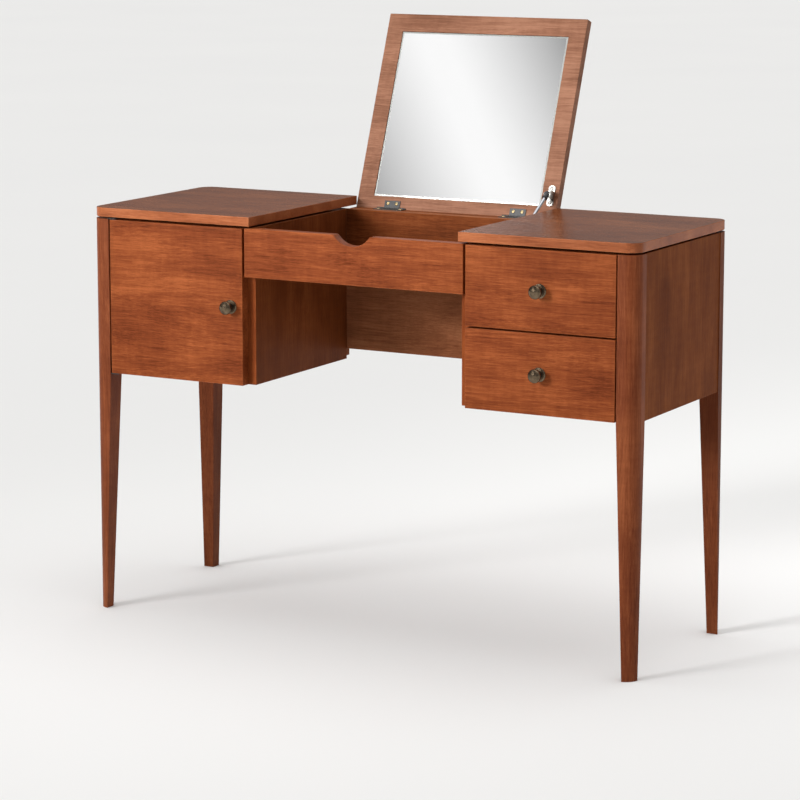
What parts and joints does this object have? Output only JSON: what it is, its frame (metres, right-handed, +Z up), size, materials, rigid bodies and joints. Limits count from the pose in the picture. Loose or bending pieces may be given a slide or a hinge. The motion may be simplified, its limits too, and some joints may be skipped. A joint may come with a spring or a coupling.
{
  "type": "vanity table with mirror",
  "caption": "Dressing table on tapered legs with a side cupboard, side drawers, a kneehole, and a lift-up lid over a tray that carries a mirror on its inner face.",
  "frame": {"origin": "on the floor, midway across the table, and midway between the front of the knobs and the rear edge of the open lid", "axes": "+Z up, +X to the sitter's right, +Y towards the wall behind the table"},
  "size_m": [1.1, 0.5597, 1.094],
  "materials": {
    "frame_wood": "warm brown stain under satin lacquer",
    "top_wood": "brown stain under a smoother satin lacquer",
    "front_wood": "warm brown stain under satin lacquer, grain level",
    "lid_wood": "warm brown stain, matt lacquer, grain level",
    "inside_wood": "pale birch plywood, clear lacquer",
    "mirror_glass": "silvered glass with a polished bevel",
    "knob_metal": "dark aged brass",
    "hinge_metal": "black lacquered steel",
    "screw_metal": "bright brass",
    "nickel": "dull nickel plate",
    "chrome_rod": "polished",
    "strut_black": "black satin",
    "socket_plastic": "black moulded nylon",
    "slide_steel": "zinc-plated steel",
    "catch_plastic": "brown moulded case"
  },
  "bodies": {
    "carcass": {"front_right_leg": "frame_wood", "front_left_leg": "frame_wood", "rear_right_leg": "frame_wood", "rear_left_leg": "frame_wood", "right_top": "top_wood", "left_top": "top_wood", "right_side_panel": "frame_wood", "left_side_panel": "frame_wood", "right_partition": "frame_wood", "left_partition": "frame_wood", "right_cabinet_bottom": "frame_wood", "left_cabinet_bottom": "frame_wood", "right_cabinet_back": "frame_wood", "left_cabinet_back": "frame_wood", "top_rails": "inside_wood", "top_spacers": "inside_wood", "centre_back_board": "frame_wood", "hinge_rail": "frame_wood", "apron": "front_wood", "tray_floor": "frame_wood", "tray_cleats": "inside_wood", "lid_hinge_bases": "hinge_metal", "lid_hinge_pins": "hinge_metal", "strut_cabinet_bracket": "nickel", "door_pivot_brackets": "hinge_metal", "carcass_screws": "screw_metal", "door_catch": "catch_plastic", "slide_battens": "inside_wood", "slide_outers": "slide_steel"},
    "door": {"door": "front_wood", "door_knob": "knob_metal", "door_knob_screw": "nickel", "door_pivot_pins": "nickel", "door_strike": "nickel"},
    "lid": {"lid": "lid_wood", "mirror": "mirror_glass", "lid_hinge_leaves": "hinge_metal", "strut_lid_bracket": "nickel", "lid_screws": "screw_metal"},
    "strut_rod": {"strut_rod": "chrome_rod", "strut_upper_socket": "socket_plastic"},
    "strut_tube": {"strut_tube": "strut_black", "strut_lower_socket": "socket_plastic", "strut_lower_stud": "nickel"},
    "lower_drawer": {"lower_drawer_front": "front_wood", "lower_drawer_sides": "inside_wood", "lower_drawer_ends": "inside_wood", "lower_drawer_bottom": "inside_wood", "lower_drawer_knob": "knob_metal", "lower_drawer_knob_screw": "nickel", "lower_slide_inners": "slide_steel"},
    "lower_slide_middle": {"lower_slide_middles": "slide_steel"},
    "upper_drawer": {"upper_drawer_front": "front_wood", "upper_drawer_sides": "inside_wood", "upper_drawer_ends": "inside_wood", "upper_drawer_bottom": "inside_wood", "upper_drawer_knob": "knob_metal", "upper_drawer_knob_screw": "nickel", "upper_slide_inners": "slide_steel"},
    "upper_slide_middle": {"upper_slide_middles": "slide_steel"}
  },
  "joints": [
    {"name": "door_hinge", "type": "hinge", "parent": "carcass", "child": "door", "pos_m": [-0.505, -0.25041, 0.59175], "axis": [0, 0, 1], "range_deg": [-100, 0]},
    {"name": "lid_hinge", "type": "hinge", "parent": "carcass", "child": "lid", "pos_m": [0, 0.12799, 0.73725], "axis": [1, 0, 0], "range_deg": [0, 110.6]},
    {"name": "strut_pivot", "type": "hinge", "parent": "lid", "child": "strut_rod", "pos_m": [0.191, 0.13342, 0.78083], "axis": [1, 0, 0], "range_deg": [-120.39, 0]},
    {"name": "strut_slide", "type": "slide", "parent": "strut_rod", "child": "strut_tube", "axis": [0, 0.8526, 0.5225], "range_m": [0, 0.06741]},
    {"name": "lower_drawer_slide", "type": "slide", "parent": "carcass", "child": "lower_drawer", "axis": [0, -1, 0], "range_m": [0, 0.28]},
    {"name": "lower_middle_slide", "type": "slide", "parent": "carcass", "child": "lower_slide_middle", "axis": [0, -1, 0], "range_m": [0, 0.14]},
    {"name": "upper_drawer_slide", "type": "slide", "parent": "carcass", "child": "upper_drawer", "axis": [0, -1, 0], "range_m": [0, 0.28]},
    {"name": "upper_middle_slide", "type": "slide", "parent": "carcass", "child": "upper_slide_middle", "axis": [0, -1, 0], "range_m": [0, 0.14]}
  ],
  "couplings": [
    {"joint": "strut_pivot", "follows": "lid_hinge", "ratio": -1.0881},
    {"joint": "strut_slide", "follows": "lid_hinge", "m_per_rad": 0.034912},
    {"joint": "lower_middle_slide", "follows": "lower_drawer_slide", "ratio": 0.5},
    {"joint": "upper_middle_slide", "follows": "upper_drawer_slide", "ratio": 0.5}
  ]
}
